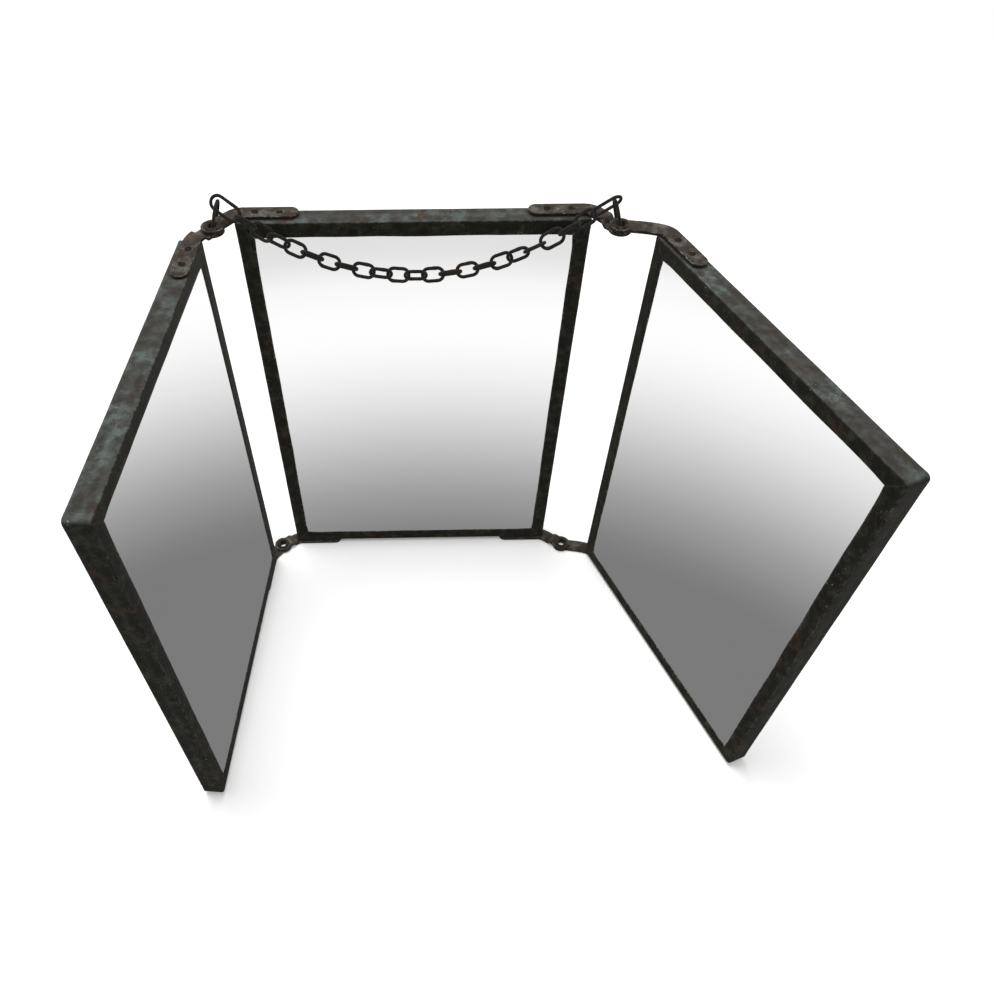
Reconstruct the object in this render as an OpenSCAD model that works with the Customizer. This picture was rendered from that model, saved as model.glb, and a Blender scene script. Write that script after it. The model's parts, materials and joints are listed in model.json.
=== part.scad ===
/* [Panels] */
// Width of each of the three panels
panel_w = 225; // [180:1:300]
// Height of each panel
panel_h = 320; // [240:1:420]
// Depth of a panel from its front lip to its rear flange
panel_d = 15; // [12:0.5:20]
// Thickness of the folded sheet metal
sheet_t = 0.9; // [0.7:0.1:1.2]
// Width of the front lip that frames the glass
lip_w = 11.3; // [9:0.1:16]
// Width of the rear flange that holds the metal back
flange_w = 7; // [5.5:0.5:10]
// Outside radius of the sheet's long folds
fold_r = 1.2; // [1.0:0.1:1.6]
// Outside radius of a frame corner at a panel's free end
free_corner_r = 3.5; // [2:0.1:6]
// Outside radius of a frame corner at a hinge
hinge_corner_r = 1.5; // [1.2:0.1:3]
// Width of the open mitre seam in the lips
seam_w = 0.5; // [0.3:0.1:0.8]

/* [Glass and backing] */
// Thickness of the mirror glass
glass_t = 3; // [2:0.5:4]
// Thickness of the paper liner behind the silvering
liner_t = 0.4; // [0.2:0.1:0.8]
// Thickness of the metal back
back_t = 0.6; // [0.4:0.1:1]
// Room between the frame's wall and the edges of the glass and backing
edge_gap = 1.9; // [1.5:0.1:3]

/* [Hinges] */
// Distance from the left hinge axis to the edge of each panel it joins
left_axis_out = 12.5; // [12.2:0.1:16]
// Distance of the left hinge axis in front of the centre panel's face
left_axis_front = 5.5; // [5:0.1:7]
// Distance of the left hinge axis in front of the left panel's face
left_wing_front = 3.5; // [3.2:0.1:6]
// Distance from the right hinge axis to the edge of each panel it joins
right_axis_out = 16; // [14:0.1:18]
// Distance of the right hinge axis in front of the centre panel's face
right_axis_front = 9; // [8:0.1:10]
// Room between the folded left panel and the right panel folded over it
stack_gap = 1; // [0.6:0.1:3]
// Angle of the left panel from lying flat beside the centre panel
left_rest = 84.8; // [40:0.1:140]
// Angle of the right panel from lying flat beside the centre panel
right_rest = 68; // [40:0.1:140]

/* [Straps] */
// Width of a hinge strap
strap_w = 11; // [9:0.5:12]
// Thickness of a hinge strap
strap_t = 2; // [1.5:0.1:2.5]
// Length of strap that lies on a panel
strap_reach = 40; // [34:1:60]
// Radius of the round lug at the hinge axis
lug_r = 7.2; // [7:0.1:8.8]
// Distance of the centre panel's top straps from its face, at their middle
top_strap_line = 9.5; // [6.5:0.1:9.5]
// Distance of the centre panel's bottom straps from its face, at their middle
bottom_strap_line = 3.6; // [3.5:0.1:9]
// Distance of the left panel's straps from its face, at their middle
left_strap_line = 5.5; // [4.5:0.1:8]
// Distance of the right panel's straps from its face, at their middle
right_strap_line = 7.5; // [5.5:0.1:9]
// Distance from a panel's edge to its first rivet
rivet_inset = 12.5; // [10:0.5:15]
// Distance between a strap's two rivets
rivet_pitch = 15.5; // [12:0.5:18]
// Radius of a rivet's shank
rivet_r = 1.5; // [1.2:0.1:2]
// Radius of a rivet's heads
rivet_head_r = 2.3; // [2.1:0.1:3]
// Depth of the dimple that a rivet's outer head sits in
rivet_sink = 0.4; // [0.2:0.1:0.6]

/* [Eyelets] */
// Radius of an eyelet's bore
eyelet_bore_r = 3.1; // [2.8:0.1:3.3]
// Wall of an eyelet
eyelet_wall = 0.7; // [0.5:0.1:1]
// Radius of an eyelet's rolled rim
eyelet_rim_r = 5.4; // [5.2:0.1:6.5]
// Thickness of an eyelet's rolled rim
eyelet_rim_t = 0.7; // [0.5:0.1:1]

/* [Chain] */
// Diameter of the chain's wire
wire_d = 2.1; // [1.6:0.1:2.2]
// Outside length of a small link
small_link_l = 15.9; // [15.2:0.1:18]
// Outside width of a small link
small_link_w = 10.1; // [8.5:0.1:10.4]
// Outside length of the one larger link
large_link_l = 17.6; // [16:0.1:20]
// Outside length of the two links that turn on the end links
hook_link_l = 21.5; // [20:0.1:24]
// Outside width of the larger link and of the two at the ends
wide_link_w = 11; // [10:0.1:11.2]
// Length of the chain for each unit of the distance between its two ends
chain_slack = 1.1; // [1.07:0.01:1.25]
// Outside length of an end link
end_link_l = 23; // [22.5:0.1:26]
// Distance between an end link's two sides, from wire middle to wire middle
end_link_gap = 11.9; // [11.8:0.1:12.5]
// Lean of an end link towards the chain that pulls on it
end_lean = 16; // [0:1:17]
// Room between the wires of two neighbouring links
link_play = 0.3; // [0.2:0.01:0.35]
// Room between an end link and the link that turns on it
hook_play = 1.5; // [1.4:0.05:1.8]
// Turn of a small link's plane from upright
small_roll = 45; // [40:1:50]
// Turn of the larger link's plane from upright
large_roll = 35; // [30:1:40]
// Turn of a hook link's plane from upright
hook_roll = 28; // [25:1:32]

/* [Clearances] */
// Room between two lugs that turn on each other
lug_gap = 0.15; // [0.1:0.05:0.3]
// Room round an eyelet in the lug that turns on it
turn_fit = 0.06; // [0.03:0.01:0.1]
// Room between an eyelet's rim and the lug that turns under it
rim_gap = 0.05; // [0.02:0.01:0.1]

/* [Hidden] */

$fn = 48;
cut = 1; // how far a cutting shape runs past what it cuts
board_t = panel_d - 2*sheet_t - glass_t - liner_t - back_t; // the board fills the channel
foot = strap_t + rim_gap + eyelet_rim_t; // the bottom eyelets stand on the floor
fold_gap = left_axis_front + left_wing_front; // between centre and left panel when folded
right_wing_front = fold_gap + panel_d + stack_gap - right_axis_front;
left_axis = [-panel_w/2 - left_axis_out, -left_axis_front];
right_axis = [panel_w/2 + right_axis_out, -right_axis_front];
rivet_tail = 0.8; // height of a rivet's inner head
joggle_in = lug_r + 1.6; // a strap steps down between these distances from the hinge axis
joggle_out = joggle_in + 2.2;
step = strap_t + lug_gap; // height of that step

// ---------- panels ----------
// A panel stands with its face on y = 0 and its hinge edge on x = 0, and runs along +X.

module fold_corner() {
    difference() {
        translate([-cut, -cut]) square(fold_r + cut);
        translate([fold_r, fold_r]) circle(fold_r);
    }
}

// The channel's section: x is the depth, y is the way in towards the glass.
module channel_section() {
    difference() {
        union() {
            square([panel_d, sheet_t]);
            square([sheet_t, lip_w]);
            translate([panel_d - sheet_t, 0]) square([sheet_t, flange_w]);
        }
        fold_corner();
        translate([panel_d, 0]) mirror([1, 0]) fold_corner();
    }
}

// One side of the frame, along +X from the origin, its wall on z = 0.
module channel(length) {
    rotate([90, 0, 90]) linear_extrude(length) channel_section();
}

// The part of a side that its two mitres leave.
module mitred_channel(length) {
    reach = lip_w + cut;
    intersection() {
        channel(length);
        translate([0, panel_d + cut, 0]) rotate([90, 0, 0])
            linear_extrude(panel_d + 2*cut)
            polygon([[0, 0], [length, 0], [length - reach, reach], [reach, reach]]);
    }
}

module corner_prism(r) {
    translate([0, panel_d + cut, 0]) rotate([90, 0, 0]) linear_extrude(panel_d + 2*cut)
    difference() {
        translate([-cut, -cut]) square(r + cut);
        translate([r, r]) circle(r);
    }
}

// The wall's bend inside a rounded corner.
module corner_bend(r) {
    inner = r - sheet_t;
    translate([0, panel_d - fold_r/2, 0]) rotate([90, 0, 0]) linear_extrude(panel_d - fold_r)
    difference() {
        square(r);
        translate([r, r]) circle(inner);
    }
}

module seam_cut() {
    run = (lip_w - 1.5)*sqrt(2);
    for (y = [-cut, panel_d - sheet_t])
        translate([0, y, 0]) rotate([0, -45, 0]) translate([1.5*sqrt(2), 0, -seam_w/2])
            cube([run + cut, sheet_t + cut, seam_w]);
}

// The four corners in turn: at each, children are drawn with the corner at the origin.
module at_corners() {
    children();
    translate([panel_w, 0, 0]) mirror([1, 0, 0]) children();
    translate([0, 0, panel_h]) mirror([0, 0, 1]) children();
    translate([panel_w, 0, panel_h]) mirror([1, 0, 0]) mirror([0, 0, 1]) children();
}

module at_edge(far) {
    for (z = [0, 1])
        translate([far ? panel_w : 0, 0, z*panel_h]) mirror([far ? 1 : 0, 0, 0]) mirror([0, 0, z]) children();
}

module frame(near_r, far_r) {
    difference() {
        union() {
            mitred_channel(panel_w);
            translate([0, 0, panel_h]) mirror([0, 0, 1]) mitred_channel(panel_w);
            translate([0, 0, panel_h]) rotate([0, 90, 0]) mitred_channel(panel_h);
            translate([panel_w, 0, 0]) rotate([0, -90, 0]) mitred_channel(panel_h);
            at_edge(false) corner_bend(near_r);
            at_edge(true) corner_bend(far_r);
        }
        at_edge(false) corner_prism(near_r);
        at_edge(true) corner_prism(far_r);
        at_corners() seam_cut();
        children();
    }
}

// A sheet that fills the frame's inside, from depth y, thick t.
module filling(y, t) {
    in = sheet_t + edge_gap;
    translate([in, y, in]) cube([panel_w - 2*in, t, panel_h - 2*in]);
}

module glass() filling(sheet_t, glass_t);
module liner() filling(sheet_t + glass_t, liner_t);
module board() filling(sheet_t + glass_t + liner_t, board_t);
module metal_back() filling(sheet_t + glass_t + liner_t + board_t, back_t);

// ---------- straps ----------
// A strap is drawn seen from outside, on a panel that runs along +X from x = 0 with its face
// on y = 0. The hinge axis is at [-out, -front]; the middle of the strap on the panel is at
// y = line.

function bezier(a, b, c, d, t) =
    a*pow(1 - t, 3) + 3*b*t*pow(1 - t, 2) + 3*c*pow(t, 2)*(1 - t) + d*pow(t, 3);

neck_steps = 10;
neck_end = 4; // the neck runs into the straight part this far in on the panel
wing_rise = 9; // a side panel's neck leaves its lug this much steeper than straight

function neck_point(out, front, line, rise, t) =
    let (
        start = [-out, -front],
        end = [neck_end, line],
        heading = atan2(line + front, neck_end + out) + rise,
        first = start + 0.42*norm(end - start)*[cos(heading), sin(heading)]
    )
    bezier(start, first, [-0.15*out, line], end, t);

function neck_side(out, front, line, rise, side) =
    [for (i = [0 : neck_steps - 1])
        let (
            t = i/neck_steps,
            p = neck_point(out, front, line, rise, t),
            ahead = neck_point(out, front, line, rise, t + 0.01) - neck_point(out, front, line, rise, t - 0.01),
            along = ahead/norm(ahead)
        )
        p + side*strap_w/2*[-along[1], along[0]]];

function reversed(list) = [for (i = [len(list) - 1 : -1 : 0]) list[i]];

function bar_side(line, side) =
    [for (x = [neck_end, strap_reach - strap_w/2]) [x, line + side*strap_w/2]];

module strap_plate(out, front, line, rise, height) {
    linear_extrude(height) polygon(concat(
        neck_side(out, front, line, rise, 1), bar_side(line, 1),
        reversed(bar_side(line, -1)), reversed(neck_side(out, front, line, rise, -1))
    ));
    translate([-out, -front, 0]) cylinder(r = lug_r, h = height);
    translate([strap_reach - strap_w/2, line, 0]) cylinder(r = strap_w/2, h = height);
}

// Side view of a strap along its neck: it steps down by the height of one strap at the lug.
module joggle_section() {
    polygon([
        [-lug_r - cut, -step], [joggle_in, -step], [joggle_out, 0], [2*strap_reach, 0],
        [2*strap_reach, strap_t], [joggle_out, strap_t], [joggle_in, strap_t - step],
        [-lug_r - cut, strap_t - step]
    ]);
}

module strap_holes(out, front, line, hole_r) {
    translate([-out, -front, -step - cut]) cylinder(r = hole_r, h = strap_t + step + 2*cut);
    for (i = [0, 1])
        translate([rivet_inset + i*rivet_pitch, line, 0]) {
            translate([0, 0, -cut]) cylinder(r = rivet_r, h = strap_t + 2*cut);
            translate([0, 0, strap_t - 2*rivet_sink]) cylinder(r = rivet_head_r, h = strap_t);
        }
}

module strap(out, front, line, rise, hole_r, stepped) {
    heading = atan2(line + front, neck_end + out);
    difference() {
        if (stepped)
            intersection() {
                translate([0, 0, -step - cut]) strap_plate(out, front, line, rise, strap_t + step + 2*cut);
                translate([-out, -front, 0]) rotate(heading)
                    translate([0, strap_reach, 0]) rotate([90, 0, 0])
                    linear_extrude(2*strap_reach) joggle_section();
            }
        else
            strap_plate(out, front, line, rise, strap_t);
        strap_holes(out, front, line, hole_r);
    }
}

// The two rivets of one strap, through it and the frame's wall.
module strap_rivets(line) {
    for (i = [0, 1])
        translate([rivet_inset + i*rivet_pitch, line, 0]) {
            translate([0, 0, -sheet_t - rivet_tail]) cylinder(r = rivet_head_r, h = rivet_tail);
            translate([0, 0, -sheet_t]) cylinder(r = rivet_r, h = sheet_t + strap_t - 2*rivet_sink);
            translate([0, 0, strap_t - 2*rivet_sink]) cylinder(r = rivet_head_r, h = rivet_sink);
        }
}

module rivet_holes(line) {
    for (i = [0, 1])
        translate([rivet_inset + i*rivet_pitch, line, -sheet_t - cut]) cylinder(r = rivet_r, h = sheet_t + 2*cut);
}

// ---------- places ----------
// Children are drawn as on a panel that runs along +X from its hinge edge.

module on_centre(side) {
    mirror([side == "right" ? 1 : 0, 0, 0]) translate([-panel_w/2, 0, foot]) children();
}

module on_left() {
    translate([left_axis[0], left_axis[1], foot]) rotate(left_rest)
        mirror([1, 0, 0]) translate([left_axis_out, left_wing_front, 0]) children();
}

module on_right() {
    translate([right_axis[0], right_axis[1], foot]) rotate(-right_rest)
        translate([right_axis_out, right_wing_front, 0]) children();
}

// Children are drawn as seen from outside the panel's top or bottom.
module at_top() { translate([0, 0, panel_h]) children(); }
module at_bottom() { mirror([0, 0, 1]) children(); }

// ---------- eyelets ----------
// An eyelet stands on the plane between the two lugs' outer faces: z = 0 is the outer face of
// the flat strap, and the barrel runs down to the inner face of the stepped one.

eyelet_r = eyelet_bore_r + eyelet_wall;
lug_stack = 2*strap_t + lug_gap;

module rim_section() {
    translate([eyelet_bore_r, 0]) square([eyelet_rim_r - eyelet_rim_t - eyelet_bore_r, eyelet_rim_t]);
    intersection() {
        translate([eyelet_rim_r - eyelet_rim_t, 0]) circle(eyelet_rim_t);
        translate([eyelet_bore_r, 0]) square([eyelet_rim_r, eyelet_rim_t]);
    }
}

// gap_out and gap_in are the rooms under the outer and the inner rim.
module eyelet(gap_out, gap_in) {
    rotate_extrude() {
        translate([eyelet_bore_r, -lug_stack - gap_in]) square([eyelet_wall, lug_stack + gap_in + gap_out]);
        translate([0, gap_out]) rim_section();
        translate([0, -lug_stack - gap_in]) mirror([0, 1]) rim_section();
    }
}

// ---------- chain ----------
wire_r = wire_d/2;
wire_pitch = wire_d + link_play; // between the wires of two links that pull on each other
small_l = small_link_l - wire_d;
small_w = small_link_w - wire_d;
wide_w = wide_link_w - wire_d;
hook_reach = wire_d + hook_play; // from an end link's wire to the wire that hangs on it

// The end link stands in its eyelet, one side in the bore and one behind the lugs. It leans
// about the point where the hinge axis meets the top of the frame.
end_turn = 95; // direction of the outer side from the hinge axis, from +X on the right
end_reach = end_link_l - wire_d - end_link_gap/2; // from that point to the wire's middle at the top
end_top_z = foot + panel_h + end_reach*cos(end_lean);

function end_top(axis, side) =
    let (
        outward = [side*cos(end_turn), sin(end_turn)],
        inward = [-side*sin(end_turn), cos(end_turn)],
        top = axis + end_link_gap/2*outward + end_reach*sin(end_lean)*inward
    )
    [top[0], top[1], end_top_z];

hook_left = end_top(left_axis, -1);
hook_right = end_top(right_axis, 1);
span = hook_right[0] - hook_left[0];

// A link's share of the chain's length; the first and the last also reach round an end link.
small_run = small_l - wire_pitch;
large_run = large_link_l - wire_d - wire_pitch;
hook_run = hook_link_l - wire_d - hook_reach - wire_pitch/2;
chain_links = 3 + round((chain_slack*span - 2*hook_run - large_run)/small_run);
last = chain_links - 1;
twist = 2*floor((last - 5)/2) + 1; // from here the links' planes have turned over by one step
large = twist + 2; // place of the larger link
slack_links = [3, 9, 11, 14]; // these lie nearer to upright than the rest

function is_hook(i) = i == 0 || i == last;
function is_small(i) = !is_hook(i) && i != large;
function link_l(i) = (is_hook(i) ? hook_link_l : i == large ? large_link_l : small_link_l) - wire_d;
function lie(i) =
    is_hook(i) ? hook_roll
    : i == large ? large_roll
    : len(search(i, slack_links)) > 0 ? small_roll*0.45
    : small_roll;
function link_roll(i) =
    i == twist ? small_roll/6
    : i == twist + 1 ? small_roll*1.3
    : ((i + (i > twist ? 1 : 0)) % 2 == 0 ? -1 : 1)*lie(i);

// The chain hangs in the middle of the gap that is left when the left panel is folded.
chain_y = -fold_gap/2;
function joint_y(i) = i == 0 ? hook_left[1] : i == chain_links ? hook_right[1] : chain_y;

// Length of each link's share, seen square to the chain's plane.
link_runs = [for (i = [0 : last])
    let (
        run = is_hook(i) ? hook_run : link_l(i) - wire_pitch,
        aside = joint_y(i + 1) - joint_y(i)
    )
    sqrt(run*run - aside*aside)];

function sum(list, count) = count == 0 ? 0 : list[count - 1] + sum(list, count - 1);
link_middles = [for (i = [0 : last]) sum(link_runs, i) + link_runs[i]/2];

// The slope of a hanging chain grows evenly with the distance from its lowest point. The links
// at its two ends lie flatter, over the straps.
end_ease = 0.78;
function slope(i, hang, low) = (is_hook(i) ? end_ease : 1)*atan(hang*(link_middles[i] - low));
function rise(hang, low, count) = sum([for (i = [0 : last]) link_runs[i]*sin(slope(i, hang, low))], count);
function reach(hang, low, count) = sum([for (i = [0 : last]) link_runs[i]*cos(slope(i, hang, low))], count);

// Halves a range until the chain's two ends are level.
function find_low(hang, from, to, rounds) =
    let (middle = (from + to)/2)
    rounds == 0 ? middle
    : rise(hang, middle, chain_links) > 0 ? find_low(hang, middle, to, rounds - 1)
    : find_low(hang, from, middle, rounds - 1);

function level_low(hang) = find_low(hang, 0, chain_slack*span, 30);

// Halves a range until the chain reaches from one end link to the other.
function find_hang(from, to, rounds) =
    let (middle = (from + to)/2)
    rounds == 0 ? middle
    : reach(middle, level_low(middle), chain_links) > span ? find_hang(middle, to, rounds - 1)
    : find_hang(from, middle, rounds - 1);

hang = find_hang(0, 0.1, 30);
low = level_low(hang);

// Between links i - 1 and i.
function joint_point(i) =
    [hook_left[0] + reach(hang, low, i), joint_y(i), end_top_z + rise(hang, low, i)];

// A stadium of wire, its long way along +X and centred on the origin, lying in the XY plane.
module wire_link(length, width) {
    straight = length - width;
    for (side = [-1, 1]) {
        translate([side*straight/2, 0, 0]) rotate(side > 0 ? -90 : 90)
            rotate_extrude(angle = 180) translate([width/2, 0]) circle(wire_r);
        translate([-straight/2, side*width/2, 0]) rotate([0, 90, 0]) cylinder(r = wire_r, h = straight);
    }
}

// Link i, laid along the chain and rolled to one side or the other.
module chain_link(i) {
    from = joint_point(i);
    way = (joint_point(i + 1) - from)/norm(joint_point(i + 1) - from);
    back = i == 0 ? hook_reach : wire_pitch/2; // how far the link's wire starts behind that point
    middle = from + way*(link_l(i)/2 - back);
    translate(middle)
        rotate([0, -asin(way[2]), atan2(way[1], way[0])])
        rotate([90 + link_roll(i), 0, 0])
        wire_link(link_l(i), is_small(i) ? small_w : wide_w);
}

module end_link(axis, side) {
    turn = side > 0 ? end_turn : 180 - end_turn;
    translate([axis[0], axis[1], foot + panel_h]) rotate(turn) rotate([-side*end_lean, 0, 0])
        translate([end_link_gap/2, 0, (end_reach - end_link_gap/2)/2]) rotate([90, 0, 0]) rotate(90)
        wire_link(end_link_l - wire_d, end_link_gap);
}

// ---------- sub-parts ----------
module centre_frame() {
    color("#46504f") translate([-panel_w/2, 0, foot]) frame(hinge_corner_r, hinge_corner_r) {
        centre_rivet_holes();
        translate([panel_w, 0, 0]) mirror([1, 0, 0]) centre_rivet_holes();
    }
}

module centre_rivet_holes() {
    at_top() rivet_holes(top_strap_line);
    at_bottom() rivet_holes(bottom_strap_line);
}

module wing_frame(line) {
    color("#46504f") frame(hinge_corner_r, free_corner_r) {
        at_top() rivet_holes(line);
        at_bottom() rivet_holes(line);
    }
}

module left_frame() on_left() wing_frame(left_strap_line);
module right_frame() on_right() wing_frame(right_strap_line);
module centre_glass() color("#c9cdcf") on_centre("left") glass();
module left_glass() color("#c9cdcf") on_left() glass();
module right_glass() color("#c9cdcf") on_right() glass();
module centre_liner() color("#8a7a62") on_centre("left") liner();
module left_liner() color("#8a7a62") on_left() liner();
module right_liner() color("#8a7a62") on_right() liner();
module centre_board() color("#9a7b54") on_centre("left") board();
module left_board() color("#9a7b54") on_left() board();
module right_board() color("#9a7b54") on_right() board();
module centre_back() color("#5a6060") on_centre("left") metal_back();
module left_back() color("#5a6060") on_left() metal_back();
module right_back() color("#5a6060") on_right() metal_back();

module centre_strap_top_left() {
    color("#4a4038") on_centre("left") at_top()
        strap(left_axis_out, left_axis_front, top_strap_line, 0, eyelet_r, false);
}

module centre_strap_top_right() {
    color("#4a4038") on_centre("right") at_top()
        strap(right_axis_out, right_axis_front, top_strap_line, 0, eyelet_r, true);
}

module centre_strap_bottom_left() {
    color("#4a4038") on_centre("left") at_bottom()
        strap(left_axis_out, left_axis_front, bottom_strap_line, 0, eyelet_r, true);
}

module centre_strap_bottom_right() {
    color("#4a4038") on_centre("right") at_bottom()
        strap(right_axis_out, right_axis_front, bottom_strap_line, 0, eyelet_r, true);
}

module left_strap_top() {
    color("#4a4038") on_left() at_top()
        strap(left_axis_out, left_wing_front, left_strap_line, wing_rise, eyelet_r + turn_fit, true);
}

module left_strap_bottom() {
    color("#4a4038") on_left() at_bottom()
        strap(left_axis_out, left_wing_front, left_strap_line, wing_rise, eyelet_r + turn_fit, false);
}

module right_strap_top() {
    color("#4a4038") on_right() at_top()
        strap(right_axis_out, right_wing_front, right_strap_line, wing_rise, eyelet_r + turn_fit, false);
}

module right_strap_bottom() {
    color("#4a4038") on_right() at_bottom()
        strap(right_axis_out, right_wing_front, right_strap_line, wing_rise, eyelet_r + turn_fit, false);
}

module centre_rivets() {
    color("#2e2a26") for (side = ["left", "right"]) on_centre(side) {
        at_top() strap_rivets(top_strap_line);
        at_bottom() strap_rivets(bottom_strap_line);
    }
}

module wing_rivets(line) {
    color("#2e2a26") {
        at_top() strap_rivets(line);
        at_bottom() strap_rivets(line);
    }
}

module left_rivets() on_left() wing_rivets(left_strap_line);
module right_rivets() on_right() wing_rivets(right_strap_line);

module at_eyelet(axis, top) {
    translate([axis[0], axis[1], top ? foot + panel_h + strap_t : foot - strap_t])
        mirror([0, 0, top ? 0 : 1]) children();
}

// The turning lug is the inner one at the top left and the outer one everywhere else.
module eyelet_top_left() color("#3a3733") at_eyelet(left_axis, true) eyelet(0, rim_gap);
module eyelet_top_right() color("#3a3733") at_eyelet(right_axis, true) eyelet(rim_gap, 0);
module eyelet_bottom_left() color("#3a3733") at_eyelet(left_axis, false) eyelet(rim_gap, 0);
module eyelet_bottom_right() color("#3a3733") at_eyelet(right_axis, false) eyelet(rim_gap, 0);

module end_link_left() color("#1f1e1c") end_link(left_axis, -1);
module end_link_right() color("#1f1e1c") end_link(right_axis, 1);

module chain_hook_links() {
    color("#1f1e1c") for (i = [0, last]) chain_link(i);
}

module chain_large_link() color("#1f1e1c") chain_link(large);

module chain_small_links() {
    color("#1f1e1c") for (i = [1 : last - 1]) if (is_small(i)) chain_link(i);
}

centre_frame();
centre_glass();
centre_liner();
centre_board();
centre_back();
left_frame();
left_glass();
left_liner();
left_board();
left_back();
right_frame();
right_glass();
right_liner();
right_board();
right_back();
centre_strap_top_left();
centre_strap_top_right();
centre_strap_bottom_left();
centre_strap_bottom_right();
left_strap_top();
left_strap_bottom();
right_strap_top();
right_strap_bottom();
centre_rivets();
left_rivets();
right_rivets();
eyelet_top_left();
eyelet_top_right();
eyelet_bottom_left();
eyelet_bottom_right();
end_link_left();
end_link_right();
chain_hook_links();
chain_large_link();
chain_small_links();
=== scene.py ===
import bpy
import bmesh
import json
import math
import random
from mathutils import Matrix, Vector, noise

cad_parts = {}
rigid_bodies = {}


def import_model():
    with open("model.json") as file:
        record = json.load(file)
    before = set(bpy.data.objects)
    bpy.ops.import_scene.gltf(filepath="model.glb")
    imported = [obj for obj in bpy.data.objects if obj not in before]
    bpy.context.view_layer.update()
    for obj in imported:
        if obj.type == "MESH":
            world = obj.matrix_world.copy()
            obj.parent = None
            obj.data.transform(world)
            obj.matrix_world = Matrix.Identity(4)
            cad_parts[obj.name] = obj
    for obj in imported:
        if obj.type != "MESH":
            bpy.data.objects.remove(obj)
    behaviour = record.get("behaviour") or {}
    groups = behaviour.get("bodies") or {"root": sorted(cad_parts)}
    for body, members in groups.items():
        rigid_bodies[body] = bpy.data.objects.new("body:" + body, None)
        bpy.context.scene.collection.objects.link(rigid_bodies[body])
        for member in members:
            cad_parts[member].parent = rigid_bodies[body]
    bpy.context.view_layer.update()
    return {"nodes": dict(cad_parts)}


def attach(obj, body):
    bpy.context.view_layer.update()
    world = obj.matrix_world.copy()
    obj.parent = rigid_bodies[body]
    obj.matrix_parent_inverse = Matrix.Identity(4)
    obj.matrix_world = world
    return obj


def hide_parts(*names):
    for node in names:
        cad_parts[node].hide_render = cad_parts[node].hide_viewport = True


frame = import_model()
nodes = frame["nodes"]
mm = 0.001
print("frame loaded:", len(nodes), "nodes")


# The camera, fitted to the panels' corners in the photograph.
view = {
    "place": (0.0023, -0.4995, 0.63385),
    "tiltDown": 53.07,
    "turn": -1.19,
    "lens": 31.67,        # for a 36 mm sensor across the photograph's longer side
    "shift": (0.0633, 0.0628),
}


def makeCamera():
    data = bpy.data.cameras.new("photoCamera")
    data.lens = view["lens"]
    data.sensor_width = 36
    data.shift_x, data.shift_y = view["shift"]
    data.clip_start = 0.01
    data.clip_end = 50
    camera = bpy.data.objects.new("photoCamera", data)
    bpy.context.scene.collection.objects.link(camera)
    camera.location = view["place"]
    camera.rotation_euler = (math.radians(90 - view["tiltDown"]), 0, math.radians(view["turn"]))
    bpy.context.scene.camera = camera


makeCamera()


# Colours and nodes.
def linear(hexText):
    values = [int(hexText[i:i + 2], 16) / 255 for i in (1, 3, 5)]
    return tuple(v / 12.92 if v <= 0.04045 else ((v + 0.055) / 1.055) ** 2.4 for v in values) + (1.0,)


def feed(tree, node, inputs):
    # an input takes a plain value, a socket, or a node, which gives its first output
    for key, value in inputs.items():
        if isinstance(value, bpy.types.Node):
            value = value.outputs[0]
        if isinstance(value, bpy.types.NodeSocket):
            tree.links.new(value, node.inputs[key])
        else:
            node.inputs[key].default_value = value


def add(tree, kind, settings=None, inputs=None):
    node = tree.nodes.new("ShaderNode" + kind)
    for key, value in (settings or {}).items():
        if key != "stops":
            setattr(node, key, value)
            continue
        # a ramp's stops: each a place and a linear colour, or one number for a grey
        elements = node.color_ramp.elements
        while len(elements) < len(value):
            elements.new(0.5)
        for element, (place, colour) in zip(elements, value):
            element.position = place
            element.color = colour if isinstance(colour, tuple) else (colour, colour, colour, 1)
    feed(tree, node, inputs or {})
    return node


def newMaterial(name):
    material = bpy.data.materials.new(name)
    material.use_nodes = True
    tree = material.node_tree
    tree.nodes.clear()
    shader = add(tree, "BsdfPrincipled")
    add(tree, "OutputMaterial", None, {"Surface": shader})
    spot = add(tree, "TexCoord").outputs["Object"]
    return material, tree, shader, spot


def edgeMask(tree, radiusMm):
    # 1 on sharp outside and inside edges and 0 on flats, with the normal that rounds those edges
    rounded = add(tree, "Bevel", {"samples": 4}, {"Radius": radiusMm * mm}).outputs[0]
    flat = add(tree, "NewGeometry").outputs["Normal"]
    alike = add(tree, "VectorMath", {"operation": "DOT_PRODUCT"}, {0: rounded, 1: flat}).outputs["Value"]
    bend = add(tree, "Math", {"operation": "SUBTRACT"}, {0: 1.0, 1: alike})
    return add(tree, "Math", {"operation": "MULTIPLY", "use_clamp": True}, {0: bend, 1: 6.0}), rounded


# Folded sheet zinc, weathered to a dull lead-grey oxide: bluish bloom with painted top light on what faces up,
# olive brown handling dirt on the lips, rust from the steel straps, bright scuffs on the arrises.
frameFinish = {
    "dark": "#1a1b15",
    "olive": "#292820",
    "film": "#36372f",
    "bloom": "#434341",
    "teal": "#596260",
    "stain": "#2f2c28",
    "rust": "#39271b",
    "scuff": "#a6a397",
    # the colour of the painted crevice shade and of the dark dirt near folds
    "crevice": "#0d0c0a",
    "blotch": 30,      # mm across one patch
    "mottle": 9,
    "grain": 0.9,
    "sheen": 0.1,
}
# in mm: how far dirt with painted fold shade and rubbing reach from an edge, how far the painted crevice shade reaches,
# and how deep the relief is
wear = {"dirtReach": 3.4, "rubReach": 0.8, "creviceReach": 3.5, "relief": 0.8}


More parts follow.
